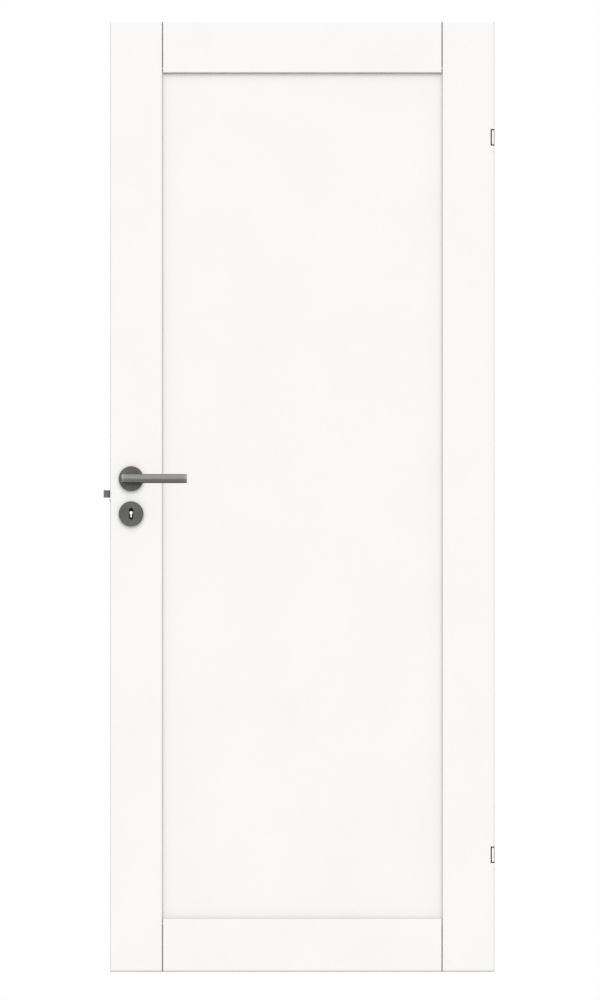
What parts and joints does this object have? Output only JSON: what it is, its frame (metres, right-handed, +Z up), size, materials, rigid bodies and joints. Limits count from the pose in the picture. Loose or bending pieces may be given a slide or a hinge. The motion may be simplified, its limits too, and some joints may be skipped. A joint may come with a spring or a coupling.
{
  "type": "interior door",
  "caption": "White painted interior door leaf with a recessed panel, a mortise lock worked by lever handles, key roses, and steel hinge sockets let into the hinge edge.",
  "frame": {"origin": "centre of the lower hinge plate, on its outer face, in the leaf's hinge edge", "axes": "+X out of the hinge edge towards the door frame, +Y from the front face to the back face, +Z up"},
  "size_m": [0.839, 0.1596, 2.04],
  "materials": {
    "white_paint": "satin paint sprayed over wood and board",
    "stainless_steel": "fine brushed",
    "lock_steel": "satin plated",
    "dark_steel": "dull plated",
    "grey_nylon": "moulded"
  },
  "bodies": {
    "leaf": {"lock_stile": "white_paint", "hinge_stile": "white_paint", "top_rail": "white_paint", "bottom_rail": "white_paint", "centre_panel": "white_paint", "lock_case": "dark_steel", "lock_cover": "dark_steel", "lock_faceplate": "lock_steel", "deadbolt": "lock_steel", "latch_buffer": "grey_nylon", "front_lever_rose": "stainless_steel", "back_lever_rose": "stainless_steel", "front_neck_bush": "grey_nylon", "back_neck_bush": "grey_nylon", "front_key_rose": "stainless_steel", "back_key_rose": "stainless_steel", "lower_hinge_socket": "dark_steel", "upper_hinge_socket": "dark_steel"},
    "levers": {"front_lever": "stainless_steel", "back_lever": "stainless_steel", "spindle": "lock_steel", "lock_follower": "dark_steel"},
    "latch": {"latch_bolt": "lock_steel"}
  },
  "joints": [
    {"name": "lever_turn", "type": "hinge", "parent": "leaf", "child": "levers", "pos_m": [-0.78, 0, 0.8076], "axis": [0, 1, 0], "range_deg": [0, 40], "stiffness_Nm_per_rad": 1, "springref_deg": -45.84},
    {"name": "latch_slide", "type": "slide", "parent": "leaf", "child": "latch", "axis": [1, 0, 0], "range_m": [0, 0.0135]}
  ],
  "couplings": [
    {"joint": "latch_slide", "follows": "lever_turn", "m_per_rad": 0.01933}
  ]
}
